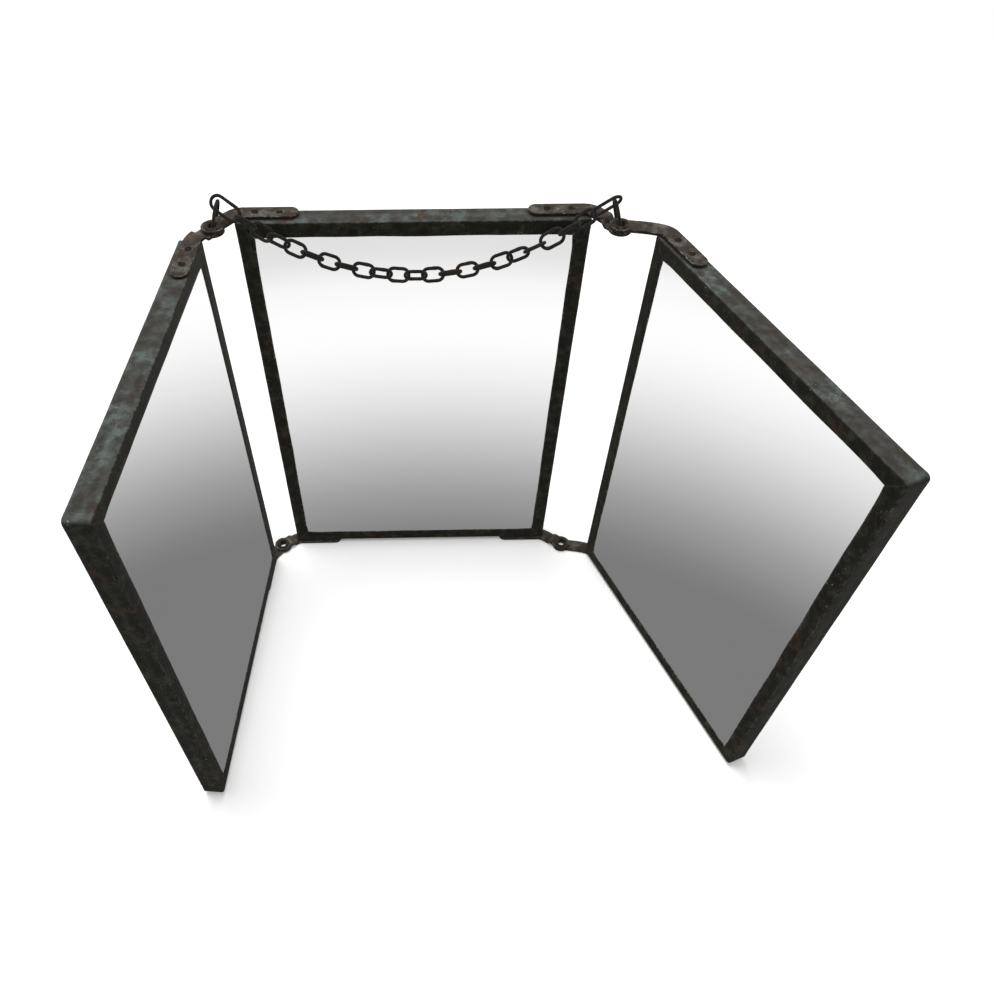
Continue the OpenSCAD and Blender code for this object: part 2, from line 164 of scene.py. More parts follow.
def weatheredZinc(name, finish, upLightAndBloom=0.9, metal=0.2):
    material, tree, shader, spot = newMaterial(name)
    tone = {word: linear(value) for word, value in finish.items() if isinstance(value, str)}
    # width of one patch in mm, detail, roughness, distortion
    noises = {
        "blotch": (finish["blotch"], 5, 0.62, 0.4),
        "mottle": (finish["mottle"], 6, 0.68, 0.0),
        "grain": (finish["grain"], 3, 0.6, 0.0),
        "patch": (finish["mottle"] * 0.7, 5, 0.7, 0.6),
        "rust": (16, 8, 0.72, 0.5),
        "rub": (3.2, 4, 0.75, 0.0),
        "speck": (1.1, 2, 0.5, 0.0),
    }
    made = {}
    for word, (sizeMm, detail, rough, warp) in noises.items():
        made[word] = add(tree, "TexNoise", None, {"Vector": spot, "Scale": 1000 / sizeMm, "Detail": detail,
                                                  "Roughness": rough, "Distortion": warp})
    # painted shade: ambient occlusion darkens the colour in creases, joins and round rivets, lugs and eyelets
    made["tight"] = add(tree, "AmbientOcclusion", {"samples": 6}, {"Distance": wear["creviceReach"] * mm}).outputs["AO"]
    normal = add(tree, "NewGeometry").outputs["Normal"]
    made["up"] = add(tree, "SeparateXYZ", None, {0: normal}).outputs["Z"]
    # each mask runs from its first value to its second between two places in a noise
    cuts = {
        "patchy": ("patch", [(0.36, 0.0), (0.64, 1.0)]),
        "filmed": ("mottle", [(0.5, 0.0), (0.64, 0.8)]),
        "clouded": ("blotch", [(0.45, 0.0), (0.62, 1.0)]),
        "stained": ("mottle", [(0.36, 0.8), (0.56, 0.0)]),
        # painted top light: faces that point up are mixed lighter, the oxide bloom lit from above
        "facesUp": ("up", [(0.45, 0.0), (0.9, upLightAndBloom)]),
        "handled": ("mottle", [(0.4, 0.75), (0.62, 0.15)]),
        "rusty": ("rust", [(0.55, 0.0), (0.64, 0.8)]),
        "rubbed": ("rub", [(0.5, 0.0), (0.57, 1.0)]),
        "specked": ("speck", [(0.69, 0.0), (0.73, 0.6)]),
        "bloomed": ("blotch", [(0.5, 0.0), (0.6, 1.0)]),
        "creviced": ("tight", [(0.45, 0.92), (0.85, 0.0)]),
        "roughness": ("mottle", [(0.3, 0.5), (0.7, 0.75)]),
    }
    mask = {word: add(tree, "ValToRGB", {"stops": stops}, {"Fac": made[source]})
            for word, (source, stops) in cuts.items()}

    def layered(colour, layers):
        for share, over in layers:
            colour = add(tree, "Mix", {"data_type": "RGBA"}, {0: share, 6: colour, 7: over}).outputs[2]
        return colour

    base = layered(tone["dark"], [(mask["patchy"], tone["olive"]), (mask["filmed"], tone["film"])])
    # up-facing colour: oxide bloom, made lighter as painted light from above
    litTopColour = layered(tone["bloom"], [(mask["clouded"], tone["teal"]), (mask["stained"], tone["stain"])])
    # dirt and painted shade gather a few millimetres in from each fold: brown on top, black on the upright faces
    grimeAndFoldShade = layered(tone["crevice"], [(mask["facesUp"], tone["stain"])])
    multiply = {"operation": "MULTIPLY"}
    dirtAndFoldShade = add(tree, "Math", multiply, {0: edgeMask(tree, wear["dirtReach"])[0], 1: mask["handled"]})
    edge, rounded = edgeMask(tree, wear["rubReach"])
    scuffed = add(tree, "Math", multiply, {0: edge, 1: mask["rubbed"]})
    specks = add(tree, "Math", multiply, {0: mask["specked"], 1: mask["bloomed"]})
    worn = add(tree, "Math", {"operation": "MAXIMUM"}, {0: scuffed, 1: specks})
    # layers: painted top light, dirt with painted fold shade, rust, scuffs, painted crevice shade
    colour = layered(base, [(mask["facesUp"], litTopColour), (dirtAndFoldShade, grimeAndFoldShade), (mask["rusty"], tone["rust"]),
                            (worn, tone["scuff"]), (mask["creviced"], tone["crevice"])])
    fine = add(tree, "Math", multiply, {0: made["grain"], 1: 0.35})
    height = add(tree, "Math", {"operation": "ADD"}, {0: fine, 1: made["blotch"]})
    bump = add(tree, "Bump", None, {"Strength": 0.5, "Distance": wear["relief"] * mm, "Height": height,
                                    "Normal": rounded})
    feed(tree, shader, {"Base Color": colour, "Metallic": metal, "Specular IOR Level": finish["sheen"],
                        "Roughness": mask["roughness"], "Normal": bump})
    return material


# Cut steel bar, hammered flat and browned: warmer and browner than the zinc, with soft edges.
strapFinish = {
    "dark": "#191512",
    "film": "#35312b",
    "olive": "#2b231c",
    "bloom": "#35312c",
    "teal": "#5c5a52",
    "stain": "#25211d",
    "rust": "#33231a",
    "scuff": "#aaa498",
    "crevice": "#0c0a08",
    "blotch": 13,
    "mottle": 4.5,
    "grain": 0.7,
    "sheen": 0.12,
}
# The same steel, painted near black for the shade in the rivets' dimples.
rivetShadeFinish = {
    "dark": "#0e0c0a",
    "film": "#1d1915",
    "olive": "#18130f",
    "bloom": "#1d1814",
    "teal": "#26221d",
    "stain": "#120f0c",
    "rust": "#2e1a10",
    "scuff": "#3d362e",
    "crevice": "#080706",
    "blotch": 4,
    "mottle": 1.2,
    "grain": 0.5,
    "sheen": 0.1,
}
# Drawn steel wire, black with age: it only shines a little on the outside of each bend.
wireFinish = {
    "dark": "#0f0e0c",
    "film": "#24221e",
    "olive": "#1b1915",
    "bloom": "#1d1b18",
    "teal": "#2a2925",
    "stain": "#131210",
    "rust": "#2a1c11",
    "scuff": "#57524a",
    "crevice": "#080706",
    "blotch": 9,
    "mottle": 2.2,
    "grain": 0.5,
    "sheen": 0.25,
}
# Eyelets turned from steel tube, dark like the straps but rubbed bright on the rolled rim.
eyeletFinish = {
    "dark": "#1a1613",
    "film": "#332d27",
    "olive": "#292119",
    "bloom": "#332c26",
    "teal": "#4d4942",
    "stain": "#1d1814",
    "rust": "#38221a",
    "scuff": "#9a9284",
    "crevice": "#080706",
    "blotch": 5,
    "mottle": 1.8,
    "grain": 0.5,
    "sheen": 0.25,
}
# The flat back sheets are the same zinc, but nobody handles them: broad, soft clouds of oxide.
backFinish = dict(frameFinish, dark="#23241f", olive="#2b2b26", film="#35362f", rust="#2f2a23",
                  scuff="#4a4a44", blotch=120, mottle=45)
zinc = weatheredZinc("weatheredFoldedZinc", frameFinish)
backZinc = weatheredZinc("oxidisedZincSheet", backFinish)
strapSteel = weatheredZinc("brownedStrapSteel", strapFinish)
rivetShadeSteel = weatheredZinc("darkRivetSteel", rivetShadeFinish)
eyeletSteel = weatheredZinc("rubbedEyeletSteel", eyeletFinish, metal=0.65)
wireSteel = weatheredZinc("blackenedWire", wireFinish, 0.8)


# Painted shade in the open mitre seams: matt and nearly black.
def makeSeamShade():
    material, tree, shader, spot = newMaterial("packedSeamGrime")
    crumbs = add(tree, "TexNoise", None, {"Vector": spot, "Scale": 1000 / 0.8, "Detail": 4, "Roughness": 0.6})
    stops = [(0.35, linear("#0b0a08")), (0.65, linear("#191612"))]
    feed(tree, shader, {"Base Color": add(tree, "ValToRGB", {"stops": stops}, {"Fac": crumbs}),
                        "Roughness": 0.9})
    return material


seamShadeFill = makeSeamShade()


# Silvered float glass: a clean mirror, so all that it shows is the studio round it.
def silveredGlass():
    material, tree, shader, spot = newMaterial("silveredGlass")
    cloud = add(tree, "TexNoise", None, {"Vector": spot, "Scale": 1000 / 90, "Detail": 3, "Roughness": 0.5})
    stops = [(0.3, linear("#fdfefd")), (0.7, linear("#ffffff"))]
    polish = add(tree, "ValToRGB", {"stops": [(0.3, 0.03), (0.7, 0.05)]}, {"Fac": cloud})
    feed(tree, shader, {"Base Color": add(tree, "ValToRGB", {"stops": stops}, {"Fac": cloud}),
                        "Roughness": polish, "Metallic": 1.0})
    return material


# Kraft paper: matt, warm and fibrous.
def kraftPaper():
    material, tree, shader, spot = newMaterial("kraftPaper")
    fibre = add(tree, "TexNoise", None,
                {"Vector": spot, "Scale": 1000 / 1.5, "Detail": 6, "Roughness": 0.7, "Distortion": 1.0})
    stops = [(0.35, linear("#7d6446")), (0.65, linear("#9a7f5c"))]
    feed(tree, shader, {"Base Color": add(tree, "ValToRGB", {"stops": stops}, {"Fac": fibre}),
                        "Roughness": 0.85})
    return material


# Sawn pine: pale, with grain lines about 2 mm apart.
def sawnPine():
    material, tree, shader, spot = newMaterial("sawnPine")
    stretched = add(tree, "Mapping", None, {"Scale": (1.0, 1.0, 0.06), "Vector": spot})
    grain = add(tree, "TexNoise", None,
                {"Vector": stretched, "Scale": 1000 / 2, "Detail": 4, "Roughness": 0.6, "Distortion": 0.6})
    stops = [(0.35, linear("#8a6a42")), (0.65, linear("#b08d5f"))]
    feed(tree, shader, {"Base Color": add(tree, "ValToRGB", {"stops": stops}, {"Fac": grain}),
                        "Roughness": 0.7})
    return material


glassMirror = silveredGlass()
paper = kraftPaper()
pine = sawnPine()
print("materials made")


def dress(name, material):
    mesh = nodes[name].data
    mesh.materials.clear()
    mesh.materials.append(material)


for name in nodes:
    if name.endswith("_glass"):
        dress(name, glassMirror)
    elif name.endswith("_liner"):
        dress(name, paper)
    elif name.endswith("_board"):
        dress(name, pine)
    elif name.endswith("_frame"):
        dress(name, zinc)
    elif name.endswith("_back"):
        dress(name, backZinc)
    elif "_strap_" in name:
        dress(name, strapSteel)
    elif name.endswith("_rivets"):
        dress(name, rivetShadeSteel)
    else:
        dress(name, wireSteel)


# Places in mm: the same sizes, hinge axes and angles as in the solid model.
panel = {
    "width": 225.0, "height": 320.0, "depth": 15.0, "foot": 2.75,
    "sheet": 0.9, "lip": 11.3, "flange": 7.0, "fold": 1.2,
}
hinges = {
    "left": {"axis": (-125.0, -5.5), "out": 12.5, "front": 3.5, "open": 84.8},
    "right": {"axis": (128.5, -9.0), "out": 16.0, "front": 16.0, "open": 68.0},
}


def panelPlace(name):
    # a panel is drawn with its face on y = 0 and its hinge edge on x = 0, running along +X
    if name == "centre":
        return Matrix.Translation((-panel["width"] / 2, 0, panel["foot"]))
    hinge = hinges[name]
    base = Matrix.Translation((*hinge["axis"], panel["foot"]))
    if name == "left":
        turn = Matrix.Rotation(math.radians(hinge["open"]), 4, "Z") @ Matrix.Scale(-1, 4, (1, 0, 0))
    else:
        turn = Matrix.Rotation(math.radians(-hinge["open"]), 4, "Z")
    return base @ turn @ Matrix.Translation((hinge["out"], hinge["front"], 0))


def finishPiece(bm, name, materials, body, replaced):
    bmesh.ops.recalc_face_normals(bm, faces=bm.faces)
    mesh = bpy.data.meshes.new(name)
    bm.to_mesh(mesh)
    bm.free()
    for polygon in mesh.polygons:
        polygon.use_smooth = True
    for material in materials:
        mesh.materials.append(material)
    piece = bpy.data.objects.new(name, mesh)
    bpy.context.scene.collection.objects.link(piece)
    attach(piece, body)
    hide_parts(*replaced)
    return piece


# Folded frames: a channel of sheet folded by hand, so that nothing in it is quite flat or straight.
frameShape = {
    "rollBack": 0.4,         # the lip's inner edge is dressed back a little towards the glass
    "rollFrom": 7.6,         # from this far in
    "burr": 0.14,            # the cut edge is rounded by this much in depth
    "burrIn": 0.12,          # and by this much across
    "lipSteps": (10.4, 9.4, 8.4, 7.4, 6.0, 4.4, 2.8, 1.9),
    "wallSteps": (4.0, 7.5, 11.0),
    "flangeStep": 4.0,
    "faceWave": 0.34,        # each wave's greatest height or width
    "edgeWave": 0.9,
    "edgeFine": 0.25,
    "sideWave": 0.3,
    "sideFine": 0.15,
    "waveLength": 34.0,
    "fineLength": 9.0,
    "seamFrom": 1.4,
    "seamFromRadius": 0.4,   # a seam starts to open at this share of the corner's radius
    "seamOpensIn": 0.8,      # and is fully open this much farther in
    "seamSpread": (0.0, 0.45, 0.9, 1.6),   # how far apart the points beside the seam lie
    "seamDeep": 0.55,
    "cornerSteps": 6,
    "sideStep": 7.0,
    "cornerRadius": {"centre": (1.5, 1.5), "left": (1.5, 3.5), "right": (1.5, 3.5)},
    "seed": {"centre": 3.0, "left": 11.0, "right": 23.0},
}


def lipFront(w):
    # how far the lip's front lies behind the panel's face, w in from the outer edge
    over = max(0.0, w - frameShape["rollFrom"]) / (panel["lip"] - frameShape["rollFrom"])
    return frameShape["rollBack"] * over * over * (3 - 2 * over)


def channelProfile():
    # (depth, way in, part) round the folded sheet: front of the lip, wall, rear flange, and back inside
    fold, sheet, depth, lip, flange = (panel[key] for key in ("fold", "sheet", "depth", "lip", "flange"))
    burr = frameShape["burr"]
    ways = [lip - frameShape["burrIn"], *frameShape["lipSteps"], fold]
    points = [(lipFront(lip) + burr, lip, "edge")]
    points += [(lipFront(w), w, "lip") for w in ways]
    points += [(fold - fold * math.sin(a), fold - fold * math.cos(a), "fold")
               for a in (math.radians(d) for d in (67, 45, 22))]
    points += [(y, 0.0, "wall") for y in (fold, *frameShape["wallSteps"], depth - fold)]
    points += [(depth - fold + fold * math.sin(a), fold - fold * math.cos(a), "fold")
               for a in (math.radians(d) for d in (22, 45, 67))]
    points += [(depth, w, "flange") for w in (fold, frameShape["flangeStep"], flange)]
    points += [(depth - sheet, flange, "flange"), (depth - sheet, sheet, "inside"), (sheet, sheet, "inside")]
    points += [(sheet, lip, "backEdge"), (sheet - burr, lip, "backEdge")]
    return points


def frameLoop(way, radii):
    # the rounded rectangle that lies this far in, as (x, z, place in its corner or None)
    width, height, steps = panel["width"], panel["height"], frameShape["cornerSteps"]
    corners = [((0, 0), (1, 1), radii[0]), ((width, 0), (-1, 1), radii[1]),
               ((width, height), (-1, -1), radii[1]), ((0, height), (1, -1), radii[0])]
    loop = []
    for number, ((cx, cz), (sx, sz), radius) in enumerate(corners):
        bend = max(radius - way, 0.0)
        spread = min(max((way - frameShape["seamFromRadius"] * radius) / frameShape["seamOpensIn"], 0.0), 1.0)
        arc = []
        for j in range(steps + 1):
            turn = math.pi / 2 * j / steps
            off = j - steps / 2
            apart = math.copysign(frameShape["seamSpread"][abs(int(off))], off) * spread
            # from the short rail round to the stile
            x = way + bend * (1 - math.sin(turn)) + max(-apart, 0.0)
            z = way + bend * (1 - math.cos(turn)) + max(apart, 0.0)
            arc.append((cx + sx * x, cz + sz * z, j))
        if number in (0, 2):
            arc.reverse()
        loop.append(arc)
    points = []
    for number in range(4):
        arc, following = loop[number], loop[(number + 1) % 4]
        points += arc
        (ax, az, _), (bx, bz, _) = arc[-1], following[0]
        span = height if number in (1, 3) else width
        count = round(span / frameShape["sideStep"])
        points += [(ax + (bx - ax) * k / count, az + (bz - az) * k / count, None) for k in range(1, count)]
    return points


def waved(y, way, part, x, z, seed):
    # a point's depth and how far it moves in: always into the sheet's own thickness or towards the glass
    shape = frameShape
    broad, fine = (0.5 + 0.5 * noise.noise(Vector((x / length, z / length, seed + offset)))
                   for length, offset in ((shape["waveLength"], 0), (shape["fineLength"], 5)))
    edge = shape["edgeWave"] * broad + shape["edgeFine"] * fine
    if part in ("lip", "edge"):
        inner = (way / panel["lip"]) ** 2
        wave = shape["faceWave"] * (0.6 * broad + 0.25 * fine) * (1 - 0.4 * inner)
        return y + wave, inner * edge
    if part == "backEdge":
        return y, edge
    if part in ("wall", "fold"):
        return y, -shape["sideWave"] * broad - shape["sideFine"] * fine
    return y, 0.0


def buildFrame(name):
    place = panelPlace(name)
    seed = frameShape["seed"][name]
    profile = channelProfile()
    loops = []
    bm = bmesh.new()
    for y, way, part in profile:
        ring = []
        for x, z, corner in frameLoop(way, frameShape["cornerRadius"][name]):
            depth, narrower = waved(y, way, part, x, z, seed)
            if corner is not None:
                narrower = 0.0
            if corner == frameShape["cornerSteps"] // 2 and part == "lip" and way > frameShape["seamFrom"]:
                depth += frameShape["seamDeep"]
            # towards the nearest outer edge
            toX = min(x, panel["width"] - x)
            toZ = min(z, panel["height"] - z)
            if toX < toZ:
                x += -narrower if x < panel["width"] / 2 else narrower
            else:
                z += -narrower if z < panel["height"] / 2 else narrower
            ring.append(bm.verts.new((place @ Vector((x, depth, z))) * mm))
        loops.append(ring)
    corners = [corner for _, _, corner in frameLoop(panel["lip"], frameShape["cornerRadius"][name])]
    middle = frameShape["cornerSteps"] // 2
    count = len(corners)
    for i in range(len(profile)):
        a, b = loops[i], loops[(i + 1) % len(profile)]
        seamed = profile[i][2] == "lip" and profile[i][1] > frameShape["seamFrom"]
        for k in range(count):
            n = (k + 1) % count
            face = bm.faces.new((a[k], a[n], b[n], b[k]))
            if seamed and middle in (corners[k], corners[n]):
                # faces beside each seam take the painted seam shade
                face.material_index = 1
    return finishPiece(bm, name + "FoldedFrame", [zinc, seamShadeFill], name, [name + "_frame"])


for name in ("centre", "left", "right"):
    buildFrame(name)
print("frames folded")


# Straps, rivets and eyelets: steel worn round at the edges. Bevels are in mm, turns in degrees.
wornEdges = {"strapBevel": 0.38, "rivetBevel": 0.18, "flatBelow": 0.5, "sharpAbove": 35, "shadeSharp": 50}


def softened(nodeName, pieceName, material, body, bevelMm):
    # the solid's own form, with its sharp edges worn round
    bm = bmesh.new()
    bm.from_mesh(nodes[nodeName].data)
    bmesh.ops.remove_doubles(bm, verts=bm.verts, dist=1e-6)
    turns = (wornEdges[key] for key in ("flatBelow", "sharpAbove", "shadeSharp"))
    flat, sharpTurn, shade = (math.radians(turn) for turn in turns)
    bmesh.ops.dissolve_limit(bm, angle_limit=flat, verts=bm.verts, edges=bm.edges)
    sharp = [edge for edge in bm.edges if len(edge.link_faces) == 2 and edge.calc_face_angle() > sharpTurn]
    bmesh.ops.bevel(bm, geom=sharp, offset=bevelMm * mm, segments=2, profile=0.5, affect="EDGES",
                    clamp_overlap=True)
    bmesh.ops.triangulate(bm, faces=[face for face in bm.faces if len(face.verts) > 4])
    piece = finishPiece(bm, pieceName, [material], body, [nodeName])
    piece.data.set_sharp_from_angle(angle=shade)
    return piece


strapNames = [name for name in nodes if "_strap_" in name]
for name in strapNames:
    words = name.split("_")
    pieceName = words[0] + "Strap" + "".join(word.capitalize() for word in words[2:])
    softened(name, pieceName, strapSteel, words[0], wornEdges["strapBevel"])
for name in ("centre", "left", "right"):
    softened(name + "_rivets", name + "Rivets", rivetShadeSteel, name, wornEdges["rivetBevel"])

eyeletShape = {"bore": 3.1, "wall": 0.7, "rim": 5.4, "rimHigh": 0.7, "under": 0.05, "strap": 2.0,
               "between": 0.15, "turns": 56}


def buildEyelet(side, end, roomOver, roomUnder):
    # a hollow rivet: a barrel through both lugs, rolled over into a domed rim at each end
    shape = eyeletShape
    hinge = hinges[side]
    stack = 2 * shape["strap"] + shape["between"]
    middle = (shape["bore"] + shape["rim"]) / 2
    half = (shape["rim"] - shape["bore"]) / 2
    dome = [(middle - half * math.cos(a), shape["rimHigh"] * math.sin(a))
            for a in (math.pi * k / 10 for k in range(11))]
    top = [(r, roomOver + h) for r, h in dome]
    bottom = [(r, -stack - roomUnder - h) for r, h in reversed(dome)]
    outer = shape["bore"] + shape["wall"]
    outline = top + [(outer, roomOver), (outer, -stack - roomUnder)] + bottom
    flip = 1 if end == "top" else -1
    level = panel["foot"] + (panel["height"] + shape["strap"] if end == "top" else -shape["strap"])
    bm = bmesh.new()
    rings = []
    for k in range(shape["turns"]):
        turn = 2 * math.pi * k / shape["turns"]
        rings.append([bm.verts.new(((hinge["axis"][0] + r * math.cos(turn)) * mm,
                                    (hinge["axis"][1] + r * math.sin(turn)) * mm,
                                    (level + flip * h) * mm)) for r, h in outline])
    for k in range(shape["turns"]):
        a, b = rings[k], rings[(k + 1) % shape["turns"]]
        for i in range(len(outline)):
            n = (i + 1) % len(outline)
            bm.faces.new((a[i], a[n], b[n], b[i]))
    name = side + end.capitalize() + "Eyelet"
    return finishPiece(bm, name, [eyeletSteel], "centre", ["eyelet_" + end + "_" + side])


buildEyelet("left", "top", 0, eyeletShape["under"])
buildEyelet("right", "top", eyeletShape["under"], 0)
buildEyelet("left", "bottom", eyeletShape["under"], 0)
buildEyelet("right", "bottom", eyeletShape["under"], 0)
print("straps riveted")


# Chain: wire links, each kind with its own length, hung on one even curve.
chain = {
    "wire": 2.1,
    "smallLength": 15.9, "smallWidth": 10.1, "smallRoll": 45.0,
    "largeLength": 17.6, "largeRoll": 35.0, "wideWidth": 11.0,
    "hookLength": 21.5, "hookRoll": 28.0,
    "slackLinks": (3, 9, 11, 14),   # these lie nearer to upright than the rest
    "slack": 1.1, "linkPlay": 0.3, "hookPlay": 1.5,
    "endEase": 0.78,
    "planeY": -4.5,
    "endLength": 23.0, "endGap": 11.9, "endTurn": 95.0, "endLean": 16.0,
    "sides": 12,           # faces round the wire
    "scale": {"small": 0.2, "large": 0.2, "hook": 0.0, "end": 0.0},   # rust thickens the wire
    "weld": 0.12,          # how much the wire swells at its weld
}


def endPlace(side):
    # the end link leans about the point where the hinge axis meets the top of the frame
    hinge = hinges["right" if side > 0 else "left"]
    turn = math.radians(chain["endTurn"] if side > 0 else 180 - chain["endTurn"])
    return (Matrix.Translation((*hinge["axis"], panel["foot"] + panel["height"]))
            @ Matrix.Rotation(turn, 4, "Z")
            @ Matrix.Rotation(math.radians(-side * chain["endLean"]), 4, "X")
            @ Matrix.Translation((chain["endGap"] / 2, 0, 0)))


def endReach():
    return chain["endLength"] - chain["wire"] - chain["endGap"] / 2


def endTop(side):
    return endPlace(side) @ Vector((0, 0, endReach()))


def linkRoll(i, kind, twist):
    small = chain["smallRoll"]
    if i == twist:
        return small / 6
    if i == twist + 1:
        return small * 1.3
    lie = {"hook": chain["hookRoll"], "large": chain["largeRoll"], "small": small}[kind]
    if i in chain["slackLinks"]:
        lie = small * 0.45
    return -lie if (i + (1 if i > twist else 0)) % 2 == 0 else lie


def chainLinks():
    # hangs the links between the two end links: slope grows evenly along the chain
    c = chain
    pitch = c["wire"] + c["linkPlay"]
    hookReach = c["wire"] + c["hookPlay"]
    start, end = endTop(-1), endTop(1)
    span = end.x - start.x
    smallRun = c["smallLength"] - c["wire"] - pitch
    largeRun = c["largeLength"] - c["wire"] - pitch
    hookRun = c["hookLength"] - c["wire"] - hookReach - pitch / 2
    count = 3 + round((c["slack"] * span - 2 * hookRun - largeRun) / smallRun)
    last = count - 1
    twist = 2 * ((last - 5) // 2) + 1
    kinds = ["small"] * count
    kinds[0] = kinds[last] = "hook"
    kinds[twist + 2] = "large"
    lengths = [c[kind + "Length"] - c["wire"] for kind in kinds]
    asideAt = [start.y] + [c["planeY"]] * last + [end.y]
    runs = []
    for i in range(count):
        run = hookRun if kinds[i] == "hook" else lengths[i] - pitch
        aside = asideAt[i + 1] - asideAt[i]
        runs.append(math.sqrt(run * run - aside * aside))
    middles = [sum(runs[:i]) + runs[i] / 2 for i in range(count)]

    def slopes(hang, low):
        return [(c["endEase"] if kinds[i] == "hook" else 1) * math.atan(hang * (middles[i] - low))
                for i in range(count)]

    def halve(low, high, tooFar):
        for _ in range(40):
            middle = (low + high) / 2
            if tooFar(middle):
                low = middle
            else:
                high = middle
        return (low + high) / 2

    def levelLow(hang):
        return halve(0.0, c["slack"] * span,
                     lambda low: sum(r * math.sin(s) for r, s in zip(runs, slopes(hang, low))) > 0)

    hang = halve(0.0, 0.1,
                 lambda h: sum(r * math.cos(s) for r, s in zip(runs, slopes(h, levelLow(h)))) > span)
    slope = slopes(hang, levelLow(hang))
    joints = [start.copy()]
    for i in range(count):
        p = joints[-1]
        along, up = runs[i] * math.cos(slope[i]), runs[i] * math.sin(slope[i])
        joints.append(Vector((p.x + along, asideAt[i + 1], p.z + up)))
    links = []
    for i in range(count):
        way = (joints[i + 1] - joints[i]).normalized()
        back = hookReach if i == 0 else pitch / 2
        middle = joints[i] + way * (lengths[i] / 2 - back)
        place = (Matrix.Translation(middle)
                 @ Matrix.Rotation(math.atan2(way.y, way.x), 4, "Z")
                 @ Matrix.Rotation(-math.asin(way.z), 4, "Y")
                 @ Matrix.Rotation(math.radians(90 + linkRoll(i, kinds[i], twist)), 4, "X"))
        width = (c["smallWidth"] if kinds[i] == "small" else c["wideWidth"]) - c["wire"]
        links.append({"kind": kinds[i], "place": place, "length": lengths[i], "width": width, "seed": i})
    return links


def ovalPath(length, width, steps=7):
    # middle line of a wire link in the XY plane, counter-clockwise, long way along X
    straight = (length - width) / 2
    points = []
    for side in (1, -1):
        for i in range(steps * 2 + 1):
            angle = side * (-math.pi / 2) + math.pi * i / (steps * 2)
            points.append((side * straight + width / 2 * math.cos(angle), width / 2 * math.sin(angle)))
        points += [(side * straight * part, side * width / 2) for part in (0.5, 0.0, -0.5)]
    return points


def addWireLoop(bm, place, length, width, kind, seed, weld):
    points = ovalPath(length, width)
    count = len(points)
    sides = chain["sides"]
    rng = random.Random(seed * 7 + 3)
    weldAt = rng.choice([count // 4 + 6, count * 3 // 4 + 4])
    rings = []
    for i, (x, y) in enumerate(points):
        before, after = points[i - 1], points[(i + 1) % count]
        along = Vector((after[0] - before[0], after[1] - before[1], 0)).normalized()
        outward = Vector((along.y, -along.x, 0))
        away = min(abs(i - weldAt), count - abs(i - weldAt))
        swell = 1 + weld * math.exp(-(away / 1.1) ** 2)
        ring = []
        for k in range(sides):
            angle = 2 * math.pi * k / sides
            radius = (chain["wire"] + chain["scale"][kind]) / 2 * swell * (0.97 + 0.03 * rng.random())
            offset = outward * math.cos(angle) + Vector((0, 0, 1)) * math.sin(angle)
            ring.append(bm.verts.new((place @ (Vector((x, y, 0)) + offset * radius)) * mm))
        rings.append(ring)
    for i in range(count):
        a, b = rings[i], rings[(i + 1) % count]
        for k in range(sides):
            n = (k + 1) % sides
            bm.faces.new((a[k], b[k], b[n], a[n]))


def buildChain():
    nodeNames = {"small": "chain_small_links", "large": "chain_large_link", "hook": "chain_hook_links"}
    for kind, node in nodeNames.items():
        bm = bmesh.new()
        for link in chainLinks():
            if link["kind"] == kind:
                addWireLoop(bm, link["place"], link["length"], link["width"], kind, link["seed"],
                            chain["weld"])
        finishPiece(bm, kind + "ChainLinks", [wireSteel], "chain", [node])
    upright = Matrix.Rotation(math.radians(90), 4, "X") @ Matrix.Rotation(math.radians(90), 4, "Z")
    for side, name in ((-1, "left"), (1, "right")):
        middle = Matrix.Translation((0, 0, (endReach() - chain["endGap"] / 2) / 2))
        bm = bmesh.new()
        addWireLoop(bm, endPlace(side) @ middle @ upright, chain["endLength"] - chain["wire"],
                    chain["endGap"], "end", 40 + side, 0.0)
        finishPiece(bm, name + "EndLink", [wireSteel], "centre", ["end_link_" + name])


buildChain()
print("chain hung")


# The studio: white floor paper, two soft lamps and an even sky.
studio = {
    "floor": "#f3f3f2",
    "keyPlace": (-0.5, 0.5, 3.6),
    "keySize": 1.8,
    "keyPower": 190.0,
    "lampAim": (0, -0.05, 0.15),
    "fillPlace": (0.8, -2.9, 2.0),
    "fillSize": 1.2,
    "fillPower": 14.0,
    "skyLight": 0.36,
    "floorGlow": 0.55,
    "glowFrom": 0.7,       # metres out from the object; past glowTo the floor is as white as the wall
    "glowTo": 1.5,
    "contactReach": 0.014,
    # what a mirror sees, by how steeply its ray runs down (1 is straight down): a lit cove over grey
    "coveTilt": (0.0086, 0.0195, 0.0142),
    "mirrorSees": [(-1, "#e4e4e4"), (0.5, "#dadada"), (0.553, "#e3e3e3"), (0.578, "#f8f8f8"),
                   (0.604, "#ffffff"), (0.629, "#fefefe"), (0.654, "#f4f4f4"), (0.681, "#e3e3e3"),
                   (0.705, "#cecece"), (0.728, "#b7b7b7"), (0.751, "#9f9f9f"), (0.773, "#8c8c8c"),
                   (0.785, "#818181"), (0.8, "#7b7b7b"), (1, "#7b7b7b")],
}


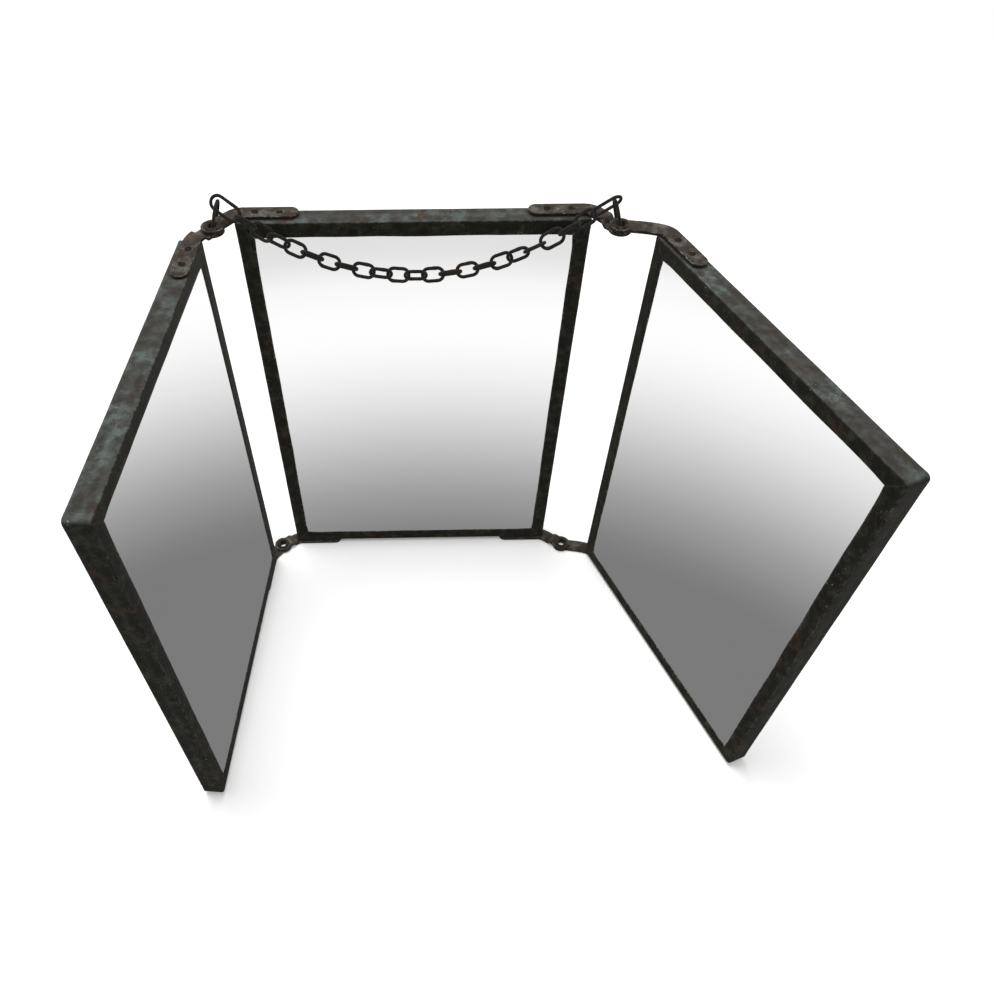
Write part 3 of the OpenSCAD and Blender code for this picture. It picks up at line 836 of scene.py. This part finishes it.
def makeFloor():
    bm = bmesh.new()
    bmesh.ops.create_grid(bm, x_segments=8, y_segments=8, size=6)
    mesh = bpy.data.meshes.new("studioFloor")
    bm.to_mesh(mesh)
    bm.free()
    floor = bpy.data.objects.new("studioFloor", mesh)
    bpy.context.scene.collection.objects.link(floor)
    material = bpy.data.materials.new("paleFloorPaper")
    material.use_nodes = True
    tree = material.node_tree
    tree.nodes.clear()
    # matt white paper: shows white to the camera, and keeps the soft shadow
    paperShader = add(tree, "BsdfDiffuse", None, {"Color": linear(studio["floor"])})
    glow = add(tree, "Emission", None, {"Color": (1, 1, 1, 1), "Strength": 1.0})
    path = add(tree, "LightPath")
    # painted contact shadow: the glow fails where the object stands close, as under its edges and inside the eyelets
    contactShadowAO = add(tree, "AmbientOcclusion", {"samples": 12}, {"Distance": studio["contactReach"]})
    spot = add(tree, "TexCoord").outputs["Object"]
    away = add(tree, "VectorMath", {"operation": "LENGTH"}, {0: spot}).outputs["Value"]
    farGlow = add(tree, "MapRange", None,
                  {"Value": away, "From Min": studio["glowFrom"], "From Max": studio["glowTo"],
                   "To Min": studio["floorGlow"], "To Max": 1.0})
    glowHere = add(tree, "Math", {"operation": "MULTIPLY"}, {0: contactShadowAO.outputs["AO"], 1: farGlow})
    share = add(tree, "Math", {"operation": "MULTIPLY"}, {0: path.outputs["Is Camera Ray"], 1: glowHere})
    both = add(tree, "MixShader", None, {0: share, 1: paperShader, 2: glow})
    add(tree, "OutputMaterial", None, {"Surface": both})
    mesh.materials.append(material)
    floor.visible_glossy = False


def makeWorld():
    world = bpy.data.worlds.new("studioWorld")
    bpy.context.scene.world = world
    world.use_nodes = True
    tree = world.node_tree
    tree.nodes.clear()
    way = add(tree, "TexCoord").outputs["Generated"]
    # the cove's edge runs a little aslant, so the side mirrors see it slightly lower
    slantX, slantY, lowered = studio["coveTilt"]
    steepness = add(tree, "VectorMath", {"operation": "DOT_PRODUCT"}, {0: way, 1: (slantX, slantY, -1.0)})
    # steepness runs from -1 straight up to 1 straight down; the ramp from 0 to 1
    place = add(tree, "Math", {"operation": "MULTIPLY_ADD"},
                {0: steepness.outputs["Value"], 1: 0.5, 2: 0.5 + lowered / 2})
    stops = [((1 + steep) / 2, linear(colour)) for steep, colour in studio["mirrorSees"]]
    seen = add(tree, "ValToRGB", {"stops": stops}, {"Fac": place})
    path = add(tree, "LightPath")
    mirrorWorld = add(tree, "Background", None, {"Color": seen, "Strength": 1.0})
    softLight = add(tree, "Background", None, {"Color": (1, 1, 1, 1), "Strength": studio["skyLight"]})
    white = add(tree, "Background", None, {"Color": (1, 1, 1, 1), "Strength": 1.0})
    lit = add(tree, "MixShader", None, {0: path.outputs["Is Glossy Ray"], 1: softLight, 2: mirrorWorld})
    final = add(tree, "MixShader", None, {0: path.outputs["Is Camera Ray"], 1: lit, 2: white})
    add(tree, "OutputWorld", None, {"Surface": final})


def makeLamp(name, place, size, power):
    data = bpy.data.lights.new(name, "AREA")
    data.shape = "DISK"
    data.size = size
    data.energy = power
    lamp = bpy.data.objects.new(name, data)
    bpy.context.scene.collection.objects.link(lamp)
    lamp.location = place
    lamp.rotation_euler = (Vector(studio["lampAim"]) - Vector(place)).to_track_quat("-Z", "Y").to_euler()
    lamp.visible_glossy = False


makeFloor()
makeWorld()
makeLamp("keyLamp", studio["keyPlace"], studio["keySize"], studio["keyPower"])
makeLamp("fillLamp", studio["fillPlace"], studio["fillSize"], studio["fillPower"])
print("studio lit")

# mirror rays pass every mesh, so that the glass reflects the plain studio alone
for thing in bpy.data.objects:
    if thing.type == "MESH":
        thing.visible_glossy = False

bpy.context.scene.view_settings.view_transform = "Standard"
